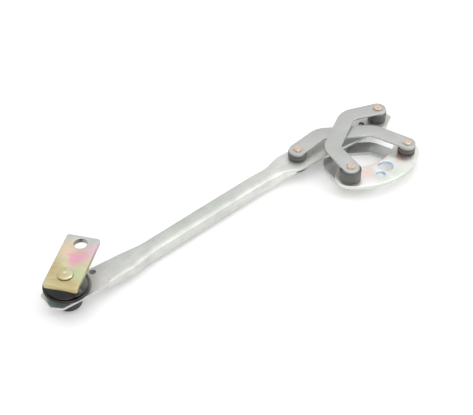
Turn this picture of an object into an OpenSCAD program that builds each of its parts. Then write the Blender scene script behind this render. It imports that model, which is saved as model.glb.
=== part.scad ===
// Crossed-link wiper drive: a pressed drive rod carries the motor crank on a ball joint at one end
// and, at the other, two pairs of crossed links that swing the spindle plate.
// All sizes are in millimetres. The origin is the centre of the motor-shaft hole in the crank,
// X runs along the rod away from the crank and Z points up along the motor shaft.

/* [Motor crank] */
// distance from ball stud to motor shaft
crank_reach = 32.3; // [24:0.1:45]
// direction of the crank, from stud to shaft, measured from the rod
crank_turn = 34.1; // [0:0.1:90]
// width of the crank bar
crank_w = 25.8; // [20:0.1:32]
// thickness of the crank bar
crank_t = 4.2; // [3:0.1:6]
// bar beyond the stud axis
crank_stud_end = 12.3; // [10:0.1:18]
// bar beyond the shaft axis
crank_shaft_end = 7.8; // [7:0.1:14]
// corner radius of the bar
crank_corner_r = 1.8; // [0.5:0.1:4]
// radius of the motor-shaft hole
shaft_hole_r = 5; // [4:0.1:6]
// height of the crank's underside above the rod's top face
crank_lift = 14.8; // [12:0.1:20]

/* [Ball joint] */
// radius of the ball
ball_r = 6.5; // [5:0.1:8]
// depth of the ball's centre below the rod's top face
ball_depth = 6.4; // [5:0.1:8]
// radius of the stud's neck
neck_r = 4; // [3:0.1:4.5]
// radius of the riveted shank in the crank
shank_r = 4.2; // [3:0.1:5]
// radius of the rivet head
rivet_r = 6; // [5.3:0.1:8]
// height of the rivet head
rivet_h = 1.6; // [0.8:0.1:3]
// radius of the dimple in the rivet head
dimple_r = 1.2; // [0.5:0.1:2]
// play between ball and socket, and round a pin in its bush
run_clear = 0.06; // [0.02:0.01:0.1]
// outer radius of the socket cup
socket_r = 9.8; // [9.2:0.1:12]
// radius of the flat under the socket cup
socket_foot_r = 5.6; // [4:0.1:7]
// radius of the socket's spigot in the rod
spigot_r = 8; // [6.5:0.1:9]

/* [Dust boot] */
// largest radius of the boot
boot_r = 17.8; // [15:0.1:20]
// radius of the boot's foot on the rod
boot_foot_r = 10.6; // [9:0.1:12]
// height of the boot's widest ring above the rod
boot_rim_z = 7; // [5:0.1:9]
// wall of the boot
boot_wall = 1.6; // [1:0.1:2.5]
// gap between the boot's lip and the stud's neck
boot_neck_gap = 0.35; // [0.2:0.05:1]
// gap between the boot's top and the crank
boot_top_gap = 0.5; // [0.3:0.1:1.5]

/* [Drive rod] */
// sheet thickness of the rod
sheet = 2.5; // [2:0.1:3]
// outer bend radius between web and flange
bend_r = 4; // [3.2:0.1:5]
// flat steps that make up a bend
bend_steps = 6; // [4:1:10]
// depth of the channel below the rod's top face
flange_h = 13; // [9:0.1:14]
// length of the slanted cut at each end of a flange
flange_run = 12; // [4:0.5:16]
// depth of the flange at its slanted ends
flange_tip_h = 5; // [5:0.1:7]
// channel start, from the stud axis
channel_start = 22.4; // [19.5:0.1:26]
// straight wide stretch of the near flange after the channel start
shoulder_run = 29; // [15:0.5:36]
// channel narrowed to its middle width, from the stud axis
mid_start = 70; // [64:0.5:90]
// length over which the channel widens towards the links
tail_flare = 18; // [13:0.5:60]
// flat rod between the channel's end and the inner rod pivot
tail_clear = 15.7; // [13.7:0.1:20]
// near edge of the channel's middle, from the stud axis
mid_near = 7.8; // [6:0.1:10]
// far edge of the channel's middle, from the stud axis
mid_far = 4.3; // [4:0.1:7]
// near edge of the channel at its start
start_near = 11.3; // [10:0.1:12]
// far edge of the channel at its start
start_far = 8.6; // [7:0.1:9]
// near edge of the channel at its end
end_near = 12.3; // [10:0.1:14]
// far edge of the channel at its end
end_far = 8.3; // [7:0.1:9]
// half width of the flat end at the crank
head_half_w = 11.2; // [10:0.1:14]
// flat end beyond the stud axis
head_tip = 17.2; // [14:0.1:22]
// slant of the flat end at the crank
head_turn = -5.4; // [-9:0.1:0]
// near edge of the flat end at the links, from its middle
tail_near = 12.8; // [12:0.1:16]
// far edge of the flat end at the links, from its middle
tail_far = 13.2; // [12:0.1:16]
// angle by which that near edge leans out towards the tip
tail_splay = 1.8; // [0:0.1:3]
// flat end beyond the outer pivot
tail_tip = 12.3; // [10:0.1:16]
// slant of the flat end at the links
tail_turn = -3.9; // [-8:0.1:0]
// chamfer on the near corner of the flat end at the crank
head_near_cut = 6.5; // [4:0.1:8]
// chamfer on the far corner of the flat end at the crank
head_far_cut = 1.8; // [1:0.1:5]
// length of the cut on the near corner of the flat end at the links
tail_cut_run = 12; // [5:0.1:14]
// width of the cut on that near corner
tail_cut_w = 7.2; // [3:0.1:9]
// chamfer on the far corner of the flat end at the links
tail_far_cut = 5.4; // [3:0.1:7]
// radius of the two tooling holes
tooling_r = 2.2; // [1.5:0.1:3]
// tooling hole at the crank end, from the stud axis
tooling_head = [25.6, 4.4];
// tooling hole at the link end, from the outer rod pivot
tooling_tail = [-14.8, 4.1];

/* [Link pivots] */
// distance from the ball stud to the outer rod pivot, along the rod
rod_reach = 317.1; // [280:0.1:420]
// distance from the ball stud to the outer rod pivot, across the rod
rod_side = -13.8; // [-16:0.1:-10]
// inner rod pivot, from the outer rod pivot
rod_inner_off = [-86.4, 10.2];
// inner plate pivot, from the outer rod pivot
plate_inner_off = [-72.8, -36.7];
// outer plate pivot, from the outer rod pivot
plate_outer_off = [-12.7, -44.8];

/* [Links] */
// width of a link
link_w = 14; // [12:0.1:15]
// thickness of a link
link_t = 1.9; // [1.5:0.1:2.2]
// radius of a link's bends on its centreline
link_bend_r = 13; // [8:0.5:18]
// first bend of link pair A from its rod pivot, along the line between its pivots
link_a_arm = 18.5; // [15:0.1:22]
// straight middle of link pair A between its bends
link_a_mid = 45.4; // [40:0.1:48]
// bulge of link pair A
link_a_bulge = 21.6; // [17:0.1:23]
// first bend of link pair B from its rod pivot, along the line between its pivots
link_b_arm = 22; // [18:0.1:25]
// straight middle of link pair B between its bends
link_b_mid = 45; // [42:0.1:50]
// bulge of link pair B
link_b_bulge = 19; // [15:0.1:22]
// flat steps that make up a link's bend
arc_steps = 10; // [6:1:16]
// gap between rod and the upper link of pair A
gap_a = 9.8; // [9:0.1:10.6]
// gap between rod and the upper link of pair B
gap_b = 6.2; // [5.4:0.1:6.8]
// inner distance between the upper and lower link of a pair
pin_span = 16.7; // [16.2:0.1:19]

/* [Pins and spacers] */
// radius of a pin's shank
pin_r = 3; // [2.4:0.1:3.4]
// radius of a pin's head
head_r = 3.7; // [3.5:0.1:4.5]
// height of a pin's head
head_h = 1.5; // [1:0.1:2.5]
// chamfer on a pin's head
head_chamfer = 0.4; // [0.2:0.1:0.8]
// wall of a bush
bush_wall = 1.5; // [1:0.1:2]
// thickness of a bush's collar
collar_t = 0.8; // [0.5:0.1:1.2]
// width of a bush's collar beyond its sleeve
collar_w = 1.6; // [0.8:0.1:1.8]
// end play between moving faces
end_play = 0.1; // [0.05:0.01:0.3]
// thickness of a washer
washer_t = 0.7; // [0.4:0.1:1]
// radius of a washer
washer_r = 7.2; // [6.2:0.1:8]
// radius of the upper spacer at the inner rod pivot
spacer_rod_inner_r = 7.8; // [6.5:0.1:9]
// radius of the upper spacer at the outer rod pivot
spacer_rod_outer_r = 7.7; // [6.5:0.1:9]
// radius of the upper spacer at the inner plate pivot
spacer_plate_inner_r = 8.9; // [8.8:0.1:11]
// radius of the upper spacer at the outer plate pivot
spacer_plate_outer_r = 7.3; // [6.5:0.1:9]
// radius of the lower spacers
spacer_lower_r = 8; // [7.6:0.1:8.6]

/* [Spindle plate] */
// thickness of the spindle plate
plate_t = 3.4; // [2.5:0.1:3.7]
// radius of the plate round its inner pivot
lobe_inner_r = 11.8; // [10.5:0.1:13]
// radius of the plate round its outer pivot
lobe_outer_r = 11.2; // [10:0.1:12]
// radius of the plate's long curved edge
belly_r = 60; // [52:0.5:75]
// radius of the plate's hollow inner edge
waist_r = 42; // [36:0.5:60]
// radius of the spindle hole
spindle_r = 6; // [5:0.1:7]
// spindle hole along and across the line between the plate's pivots
spindle_at = [33.5, -5.8];
// radius of the locating hole
locating_r = 3.8; // [3:0.1:4.5]
// locating hole along and across the line between the plate's pivots
locating_at = [23.5, -11.2];
// free room round the pin at the open pivot
open_room = 2.3; // [2.2:0.1:2.8]

/* [Hidden] */

// the rod's top face and the stud axis in the frame of the motor shaft
deck_z = -crank_lift - crank_t / 2;
stud = [-crank_reach * cos(crank_turn), -crank_reach * sin(crank_turn)];
// the four link pivots, from the stud axis
rod_outer = [rod_reach, rod_side];
rod_inner = rod_outer + rod_inner_off;
plate_inner = rod_outer + plate_inner_off;
plate_outer = rod_outer + plate_outer_off;
// the channel's end and the end of its middle width, from the stud axis
channel_end = rod_inner.x - tail_clear;
mid_end = channel_end - tail_flare;
// heights above the rod's top face
upper_a_z = gap_a;
upper_b_z = gap_b;
lower_a_z = gap_a - pin_span;
lower_b_z = gap_b - pin_span;
foot_z = lower_b_z - link_t - head_h;
pin_length = pin_span + 2 * link_t;
sleeve_r = pin_r + run_clear;
bush_r = sleeve_r + bush_wall;
open_r = pin_r + open_room;
// a cut runs this far past the face it opens
cut = 1;

function unit(v) = v / norm(v);
function left_of(v) = [-v.y, v.x];
function turned(v, a) = [v.x * cos(a) - v.y * sin(a), v.x * sin(a) + v.y * cos(a)];
function heading(v) = atan2(v.y, v.x);

// stations along the channel, each with its near and far edge
far_slope = (start_far - mid_far) / (mid_start - channel_start);
stations = [[channel_start, start_near, start_far],
    [channel_start + shoulder_run, start_near, start_far - far_slope * shoulder_run],
    [mid_start, mid_near, mid_far], [mid_end, mid_near, mid_far], [channel_end, end_near, end_far]];

// the same stations, run out past both ends for the hollow
hollow = concat([stations[0] - [cut, 0, 0]], stations, [stations[len(stations) - 1] + [cut, 0, 0]]);

// bend between a flange's outer face at y and the top face, in flat steps
function bend(y, side) = [for (k = [0:bend_steps]) let (a = 90 * k / bend_steps)
    [y + side * bend_r * (1 - cos(a)), bend_r * (sin(a) - 1)]];
function reversed(list) = [for (i = [len(list) - 1:-1:0]) list[i]];

// outside of the channel's cross-section, from the near flange over the web to the far one
function section(near, far) = concat([[-near, -flange_h]], bend(-near, 1),
    reversed(bend(far, -1)), [[far, -flange_h]]);

// the rod's flat end at the links: its middle, and how far the outer pivot lies along it
tail_mid = (rod_inner + rod_outer) / 2;
tail_out = turned(rod_outer - tail_mid, -tail_turn).x + tail_tip;
tail_in = (channel_end - tail_mid.x) / cos(tail_turn);
function tail_edge(x) = -tail_near - x * tan(tail_splay);

// the spindle plate in the frame of its two pivots
plate_span = norm(plate_outer - plate_inner);
plate_heading = heading(plate_outer - plate_inner);
belly_inner = belly_r - lobe_inner_r;
belly_outer = belly_r - lobe_outer_r;
belly_x = (pow(plate_span, 2) + pow(belly_inner, 2) - pow(belly_outer, 2)) / (2 * plate_span);
belly_at = [belly_x, sqrt(pow(belly_inner, 2) - pow(belly_x, 2))];
waist_inner = waist_r + lobe_inner_r;
waist_outer = waist_r + lobe_outer_r;
waist_x = (pow(plate_span, 2) + pow(waist_inner, 2) - pow(waist_outer, 2)) / (2 * plate_span);
waist_at = [waist_x, sqrt(pow(waist_inner, 2) - pow(waist_x, 2))];

// puts a piece on the rod's top face at a point measured from the stud axis
module on_deck(at = [0, 0], z = 0) {
    translate([stud.x + at.x, stud.y + at.y, deck_z + z])
        children();
}

// slanted cut under the channel's end at x, leaving the flange longer towards dir
module flange_cut(x, dir) {
    reach = 3 * tail_near;
    translate([x, reach, 0])
        rotate([90, 0, 0])
            linear_extrude(2 * reach)
                polygon([[-dir * cut, -flange_tip_h], [0, -flange_tip_h], [dir * flange_run, -flange_h],
                    [dir * flange_run, -flange_h - cut], [-dir * cut, -flange_h - cut]]);
}

// flat end at the crank, with its outer corners cut
module head_outline() {
    difference() {
        rotate(head_turn)
            polygon([[-head_tip, -head_half_w + head_near_cut], [-head_tip + head_near_cut, -head_half_w],
                [2 * channel_start, -head_half_w], [2 * channel_start, head_half_w],
                [-head_tip + head_far_cut, head_half_w], [-head_tip, head_half_w - head_far_cut]]);
        translate([channel_start, -2 * head_half_w - channel_start])
            square([2 * channel_start, 4 * head_half_w + 2 * channel_start]);
    }
}

// flat end at the links, with its outer corners cut
module tail_outline() {
    difference() {
        translate(tail_mid)
            rotate(tail_turn)
                polygon([[2 * tail_in, tail_edge(2 * tail_in)],
                    [tail_out - tail_cut_run, tail_edge(tail_out - tail_cut_run)],
                    [tail_out, tail_edge(tail_out) + tail_cut_w], [tail_out, tail_far - tail_far_cut],
                    [tail_out - tail_far_cut, tail_far], [2 * tail_in, tail_far]]);
        translate([0, -channel_end / 2])
            square(channel_end);
    }
}

module drive_rod() {
    color([0.78, 0.79, 0.79])
        on_deck()
            difference() {
                union() {
                    translate([0, 0, -sheet])
                        linear_extrude(sheet) {
                            head_outline();
                            tail_outline();
                        }
                    channel();
                }
                rod_hole([0, 0], spigot_r);
                rod_hole(rod_inner, bush_r);
                rod_hole(rod_outer, bush_r);
                rod_hole(tooling_head, tooling_r);
                rod_hole(rod_outer + tooling_tail, tooling_r);
            }
}

// pressed channel between the flat ends: a skin over the cross-sections at its stations, hollow below
module channel() {
    sections = [for (s = stations) section(s[1], s[2])];
    n = len(sections[0]);
    last = len(stations) - 1;
    difference() {
        polyhedron(points = [for (i = [0:last]) for (p = sections[i]) [stations[i].x, p.x, p.y]],
            faces = concat([[for (j = [n - 1:-1:0]) j]], [[for (j = [0:n - 1]) last * n + j]],
                [for (i = [0:last - 1]) for (j = [0:n - 1]) let (k = (j + 1) % n)
                    [i * n + j, i * n + k, i * n + n + k]],
                [for (i = [0:last - 1]) for (j = [0:n - 1]) let (k = (j + 1) % n)
                    [i * n + j, i * n + n + k, i * n + n + j]]));
        translate([0, 0, -flange_h - cut])
            linear_extrude(flange_h + cut - sheet)
                polygon(concat([for (s = reversed(hollow)) [s.x, sheet - s[1]]],
                    [for (s = hollow) [s.x, s[2] - sheet]]));
        flange_cut(channel_start, 1);
        flange_cut(channel_end, -1);
    }
}

// drilling for a round hole through the rod's sheet
module rod_hole(at, r) {
    translate([at.x, at.y, -sheet - cut])
        cylinder(h = sheet + 2 * cut, r = r);
}

// cup under the rod, open at the top for the stud's neck and round the ball inside
module ball_socket() {
    mouth_r = sqrt(pow(ball_r, 2) - pow(ball_depth - sheet, 2)) * 0.98;
    round_r = socket_r - socket_foot_r;
    color([0.05, 0.05, 0.055])
        on_deck()
            difference() {
                union() {
                    translate([0, 0, foot_z + round_r])
                        cylinder(h = -sheet - foot_z - round_r, r = socket_r);
                    translate([0, 0, foot_z])
                        cylinder(h = round_r, r1 = socket_foot_r, r2 = socket_r);
                    translate([0, 0, -sheet])
                        cylinder(h = sheet, r = spigot_r);
                }
                translate([0, 0, -ball_depth])
                    sphere(ball_r + run_clear);
                translate([0, 0, -ball_depth])
                    cylinder(h = ball_depth + cut, r = mouth_r);
            }
}

// bulged boot: foot on the rod, widest ring, and a lip close round the stud's neck
module dust_boot() {
    top = crank_lift - boot_top_gap;
    lip_r = neck_r + boot_neck_gap;
    shoulder = lip_r + boot_wall;
    color([0.03, 0.03, 0.035])
        on_deck()
            rotate_extrude()
                polygon([[boot_foot_r - boot_wall, 0], [boot_foot_r, 0], [boot_foot_r, boot_wall],
                    [boot_r - boot_wall, boot_rim_z - boot_wall], [boot_r, boot_rim_z],
                    [boot_r, boot_rim_z + boot_wall], [(boot_r + shoulder) / 2, top - boot_wall],
                    [shoulder, top], [lip_r, top], [lip_r, top - 2 * boot_wall],
                    [(boot_r + shoulder) / 2 - boot_wall, top - 2.2 * boot_wall],
                    [boot_r - boot_wall, boot_rim_z + boot_wall / 2],
                    [boot_foot_r - boot_wall, 2 * boot_wall]]);
}

// sleeve pressed into rod or plate, with its collar on the top face
module bush(at, seat_t) {
    color([0.72, 0.66, 0.5])
        on_deck(at)
            difference() {
                union() {
                    translate([0, 0, -seat_t])
                        cylinder(h = seat_t, r = bush_r);
                    cylinder(h = collar_t, r = bush_r + collar_w);
                }
                translate([0, 0, -seat_t - cut])
                    cylinder(h = seat_t + collar_t + 2 * cut, r = sleeve_r);
            }
}

module bush_rod_inner() {
    bush(rod_inner, sheet);
}

module bush_rod_outer() {
    bush(rod_outer, sheet);
}

module bush_plate_outer() {
    bush(plate_outer, plate_t);
}

// flat bar with rounded corners, riveted on the ball stud and clamped on the motor shaft
module motor_crank() {
    back = -crank_stud_end - crank_reach;
    length = crank_stud_end + crank_reach + crank_shaft_end;
    color([0.86, 0.8, 0.58])
        rotate([0, 0, crank_turn])
            translate([0, 0, -crank_t / 2])
                difference() {
                    linear_extrude(crank_t) {
                        translate([back + crank_corner_r, -crank_w / 2])
                            square([length - 2 * crank_corner_r, crank_w]);
                        translate([back, -crank_w / 2 + crank_corner_r])
                            square([length, crank_w - 2 * crank_corner_r]);
                        for (x = [back + crank_corner_r, crank_shaft_end - crank_corner_r])
                            for (y = [-1, 1])
                                translate([x, y * (crank_w / 2 - crank_corner_r)])
                                    circle(crank_corner_r);
                    }
                    translate([0, 0, -cut])
                        cylinder(h = crank_t + 2 * cut, r = shaft_hole_r);
                    translate([-crank_reach, 0, -cut])
                        cylinder(h = crank_t + 2 * cut, r = shank_r);
                }
}

// ball, neck, shank through the crank and the dimpled rivet head above it
module ball_stud() {
    head_z = crank_lift + crank_t;
    color([0.84, 0.79, 0.6])
        on_deck()
            difference() {
                union() {
                    translate([0, 0, -ball_depth])
                        sphere(ball_r);
                    translate([0, 0, -ball_depth])
                        cylinder(h = ball_depth + crank_lift, r = neck_r);
                    translate([0, 0, crank_lift])
                        cylinder(h = crank_t, r = shank_r);
                    translate([0, 0, head_z])
                        cylinder(h = rivet_h / 2, r = rivet_r);
                    translate([0, 0, head_z + rivet_h / 2])
                        cylinder(h = rivet_h / 2, r1 = rivet_r, r2 = rivet_r - rivet_h / 2);
                }
                translate([0, 0, head_z + rivet_h / 2])
                    cylinder(h = rivet_h, r = dimple_r);
            }
}

// plate with a lobe round each pivot, a long curved edge and a hollow inner edge
module spindle_plate() {
    color([0.88, 0.87, 0.85])
        on_deck(plate_inner, -plate_t)
            rotate([0, 0, plate_heading])
                difference() {
                    linear_extrude(plate_t) {
                        plate_web();
                        circle(lobe_inner_r);
                        translate([plate_span, 0])
                            circle(lobe_outer_r);
                    }
                    plate_hole([0, 0], open_r);
                    plate_hole([plate_span, 0], bush_r);
                    plate_hole(spindle_at, spindle_r);
                    plate_hole(locating_at, locating_r);
                }
}

// the plate between its lobes: inside the curved edge and outside the hollow one
module plate_web() {
    outer = [plate_span, 0];
    // both edges stop this angle short of where they would only just touch a lobe
    seam = 3;
    top_inner = lobe_inner_r * turned(unit(waist_at), -seam);
    top_outer = outer + lobe_outer_r * turned(unit(waist_at - outer), seam);
    difference() {
        intersection() {
            translate(belly_at)
                circle(belly_r);
            polygon([top_inner, [0, 0], belly_at + 2 * belly_r * turned(unit(-belly_at), seam),
                belly_at + 2 * belly_r * turned(unit(outer - belly_at), -seam), outer, top_outer]);
        }
        translate(waist_at)
            circle(waist_r);
    }
}

// drilling for a round hole through the spindle plate
module plate_hole(at, r) {
    translate([at.x, at.y, -cut])
        cylinder(h = plate_t + 2 * cut, r = r);
}

// points of a strip's edge at distance d to the left of its centreline, whose samples are [x, y, heading]
function strip_edge(path, d) = [for (p = path) [p[0], p[1]] + d * left_of([cos(p[2]), sin(p[2])])];

// half round end of a strip, from its left edge at heading a to its right edge
function strip_end(at, a) = [for (k = [1:2 * arc_steps - 1])
    at + link_w / 2 * turned([0, 1], a - 90 * k / arc_steps)];

// bend between two headings, on the centreline
function strip_bend(centre, from, to, side) = [for (k = [0:arc_steps])
    let (a = from + (to - from) * k / arc_steps, p = centre + side * link_bend_r * turned([0, 1], a))
    [p.x, p.y, a]];

// bent link between two pivots with a pin hole at each end; side sets which way it bulges
module link(from, to, arm, mid, bulge, side) {
    span = norm(to - from);
    first = [arm, side * bulge];
    second = [arm + mid, side * bulge];
    last = [span, 0];
    turn_first = heading(first);
    turn_second = heading(last - second);
    trim_first = link_bend_r * tan(abs(turn_first) / 2);
    trim_second = link_bend_r * tan(abs(turn_second) / 2);
    level = side * (bulge - link_bend_r);
    path = concat([[0, 0, turn_first]],
        strip_bend([first.x + trim_first, level], turn_first, 0, side),
        strip_bend([second.x - trim_second, level], 0, turn_second, side),
        [[last.x, last.y, turn_second]]);
    rotate([0, 0, heading(to - from)])
        difference() {
            linear_extrude(link_t)
                polygon(concat(strip_edge(path, link_w / 2), strip_end(last, turn_second),
                    reversed(strip_edge(path, -link_w / 2)), strip_end([0, 0], turn_first + 180)));
            for (x = [0, span])
                translate([x, 0, -cut])
                    cylinder(h = link_t + 2 * cut, r = pin_r);
        }
}

module link_a(z) {
    color([0.6, 0.61, 0.6])
        on_deck(rod_outer, z)
            link(rod_outer, plate_inner, link_a_arm, link_a_mid, link_a_bulge, -1);
}

module link_b(z) {
    color([0.6, 0.61, 0.6])
        on_deck(rod_inner, z)
            link(rod_inner, plate_outer, link_b_arm, link_b_mid, link_b_bulge, 1);
}

module upper_link_a() {
    link_a(upper_a_z);
}

module lower_link_a() {
    link_a(lower_a_z - link_t);
}

module upper_link_b() {
    link_b(upper_b_z);
}

module lower_link_b() {
    link_b(lower_b_z - link_t);
}

// pin through both links of a pair, with a chamfered head at each end
module pin(at, upper_z) {
    bottom = upper_z + link_t - pin_length;
    color([0.82, 0.68, 0.5])
        on_deck(at, bottom) {
            cylinder(h = pin_length, r = pin_r);
            translate([0, 0, pin_length])
                pin_head();
            mirror([0, 0, 1])
                pin_head();
        }
}

module pin_head() {
    cylinder(h = head_h - head_chamfer, r = head_r);
    translate([0, 0, head_h - head_chamfer])
        cylinder(h = head_chamfer, r1 = head_r, r2 = head_r - head_chamfer);
}

module pin_rod_outer() {
    pin(rod_outer, upper_a_z);
}

module pin_plate_inner() {
    pin(plate_inner, upper_a_z);
}

module pin_rod_inner() {
    pin(rod_inner, upper_b_z);
}

module pin_plate_outer() {
    pin(plate_outer, upper_b_z);
}

// ring on a pin between two heights
module ring(at, bottom, top, r) {
    on_deck(at, bottom)
        difference() {
            cylinder(h = top - bottom, r = r);
            translate([0, 0, -cut])
                cylinder(h = top - bottom + 2 * cut, r = pin_r);
        }
}

// spacer between the seat and the washer under an upper link
module spacer_upper(at, link_z, r, seat) {
    color([0.2, 0.2, 0.2])
        ring(at, seat + end_play, link_z - washer_t, r);
}

// spacer between the underside of rod or plate and a lower link
module spacer_lower(at, link_z, seat_t) {
    color([0.16, 0.16, 0.17])
        ring(at, link_z, -seat_t - end_play, spacer_lower_r);
}

// washer right under an upper link
module washer(at, link_z) {
    color([0.5, 0.5, 0.49])
        ring(at, link_z - washer_t, link_z, washer_r);
}

module spacer_upper_rod_outer() {
    spacer_upper(rod_outer, upper_a_z, spacer_rod_outer_r, collar_t);
}

module spacer_upper_plate_inner() {
    spacer_upper(plate_inner, upper_a_z, spacer_plate_inner_r, 0);
}

module spacer_upper_rod_inner() {
    spacer_upper(rod_inner, upper_b_z, spacer_rod_inner_r, collar_t);
}

module spacer_upper_plate_outer() {
    spacer_upper(plate_outer, upper_b_z, spacer_plate_outer_r, collar_t);
}

module spacer_lower_rod_outer() {
    spacer_lower(rod_outer, lower_a_z, sheet);
}

module spacer_lower_plate_inner() {
    spacer_lower(plate_inner, lower_a_z, plate_t);
}

module spacer_lower_rod_inner() {
    spacer_lower(rod_inner, lower_b_z, sheet);
}

module spacer_lower_plate_outer() {
    spacer_lower(plate_outer, lower_b_z, plate_t);
}

module washer_rod_outer() {
    washer(rod_outer, upper_a_z);
}

module washer_plate_inner() {
    washer(plate_inner, upper_a_z);
}

module washer_rod_inner() {
    washer(rod_inner, upper_b_z);
}

module washer_plate_outer() {
    washer(plate_outer, upper_b_z);
}

drive_rod();
ball_socket();
dust_boot();
bush_rod_inner();
bush_rod_outer();
motor_crank();
ball_stud();
spindle_plate();
bush_plate_outer();
upper_link_a();
lower_link_a();
pin_rod_outer();
pin_plate_inner();
spacer_upper_rod_outer();
spacer_upper_plate_inner();
spacer_lower_rod_outer();
spacer_lower_plate_inner();
washer_rod_outer();
washer_plate_inner();
upper_link_b();
lower_link_b();
pin_rod_inner();
pin_plate_outer();
spacer_upper_rod_inner();
spacer_upper_plate_outer();
spacer_lower_rod_inner();
spacer_lower_plate_outer();
washer_rod_inner();
washer_plate_outer();
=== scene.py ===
"""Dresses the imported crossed-link wiper drive: a pressed zinc rod with a passivated motor crank on a
ball joint at one end, and two pairs of bent links that swing a spindle plate at the other.
Lengths are written in millimetres and turned into metres when a mesh or a pattern is made."""

import math

import bmesh
import bpy
import numpy as np
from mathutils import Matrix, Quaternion, Vector
from mathutils.geometry import delaunay_2d_cdt


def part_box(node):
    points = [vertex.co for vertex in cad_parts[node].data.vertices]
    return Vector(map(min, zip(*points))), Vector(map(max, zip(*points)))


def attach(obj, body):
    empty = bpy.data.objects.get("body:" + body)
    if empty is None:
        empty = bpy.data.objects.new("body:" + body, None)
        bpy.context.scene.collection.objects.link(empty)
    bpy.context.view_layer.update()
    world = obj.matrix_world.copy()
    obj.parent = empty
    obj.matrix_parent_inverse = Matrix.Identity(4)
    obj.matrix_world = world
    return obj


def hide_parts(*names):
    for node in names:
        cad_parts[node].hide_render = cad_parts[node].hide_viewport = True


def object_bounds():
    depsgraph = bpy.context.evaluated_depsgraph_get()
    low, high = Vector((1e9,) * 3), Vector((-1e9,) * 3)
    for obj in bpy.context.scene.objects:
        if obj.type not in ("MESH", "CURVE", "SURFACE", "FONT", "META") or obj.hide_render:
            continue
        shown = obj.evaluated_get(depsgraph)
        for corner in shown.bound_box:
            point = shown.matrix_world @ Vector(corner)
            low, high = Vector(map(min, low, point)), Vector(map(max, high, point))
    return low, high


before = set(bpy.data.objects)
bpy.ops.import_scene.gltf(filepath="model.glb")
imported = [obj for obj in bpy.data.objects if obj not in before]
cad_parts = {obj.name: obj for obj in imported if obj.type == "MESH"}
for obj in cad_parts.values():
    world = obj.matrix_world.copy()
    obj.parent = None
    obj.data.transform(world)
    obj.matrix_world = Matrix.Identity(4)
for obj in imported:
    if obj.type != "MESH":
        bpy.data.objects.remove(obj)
cad_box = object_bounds()
MM = 0.001

# the photo's size in pixels and the camera that was fitted to it, whose rise is in pixels too
IMAGE_SIZE = (473, 415)
CAMERA_AT = (-292.6, -487.2, 559.2)
CAMERA_AIM = (126.0, -32.2, -16.9)
CAMERA_LENS, CAMERA_FILM_W = 81.5, 36.0
CAMERA_ROLL = 0.29
CAMERA_RISE = 1.5

# pressed rod: stations along it from the stud's axis, widths to its near and to its far side
SHEET = 2.5
ROD_BEND_R, ROD_INNER_BEND_R = 4.0, 1.5
ROD_EDGE_R, ROD_BURR_R = 0.35, 0.175
BEND_GROWTH = 0.5
CHANNEL = (22.4, 51.4, 70.0, 186.0, 203.0, 218.0)
CHANNEL_NEAR = (11.2, 12.2, 9.4, 8.8, 10.0, 12.2)
CHANNEL_FAR = (11.2, 8.2, 5.3, 6.1, 5.2, 7.6)
CHANNEL_EASE = 5.0
NEAR_FLANGE = [(29.0, 5.5), (42.0, 7.8), (60.0, 9.0), (80.0, 10.8), (196.0, 11.0), (218.0, 5.0)]
FAR_FLANGE = [(22.4, 5.0), (30.0, 10.0), (60.0, 10.0), (80.0, 10.8), (196.0, 11.0), (215.0, 5.0)]
FLANGE_STEP = 1.5
HEAD_BLEND = {"near": (18.0, 38.0), "far": (14.0, 30.0)}
TAIL_BLEND = {"near": (206.5, 226.0), "far": (206.5, 219.0)}
HEAD_HALF_W, HEAD_TIP, HEAD_TURN = 11.2, 17.2, -5.4
HEAD_NEAR_CUT, HEAD_FAR_CUT = 6.5, 1.8
TAIL_NEAR, TAIL_FAR, TAIL_SPLAY = 12.8, 12.0, 1.8
TAIL_TIP, TAIL_TURN = 12.3, -3.9
TAIL_CUT_RUN, TAIL_CUT_W, TAIL_FAR_CUT = 12.0, 7.2, 5.4
SOCKET_HOLE_R = 8.0
TOOLING_R = 2.2
TOOLING_FROM_STUD, TOOLING_FROM_PIVOT = (25.6, 4.4), (-14.8, 4.1)

# bent links
LINK_W, LINK_BEND_R, LINK_EDGE_R = 14.0, 13.0, 0.45
LINK_ARM = {"a": 18.5, "b": 22.0}
LINK_MID = {"a": 45.4, "b": 45.0}
LINK_BULGE = {"a": -21.6, "b": 19.0}
LEVELS = ("upper", "lower")
LINK_PINS = {"a": ("pin_rod_outer", "pin_plate_inner"), "b": ("pin_rod_inner", "pin_plate_outer")}

# spindle plate, along and across the line between its pivots
LOBE_INNER_R, LOBE_OUTER_R = 11.8, 11.2
BELLY_R, WAIST_R = 60.0, 42.0
SPINDLE_AT, SPINDLE_R = (33.5, -5.8), 6.0
LOCATING_AT, LOCATING_R = (23.5, -11.2), 3.8
OPEN_R = 5.3
PLATE_EDGE_R = 0.6

# crank bar, from the motor shaft's axis
CRANK_W, CRANK_REACH, CRANK_TURN = 25.8, 32.3, 34.1
CRANK_STUD_END, CRANK_SHAFT_END = 12.3, 7.8
CRANK_CORNER_EASE, CRANK_EDGE_R = 2.2, 0.4
SHAFT_HOLE_R, SHANK_R = 5.0, 4.2

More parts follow.
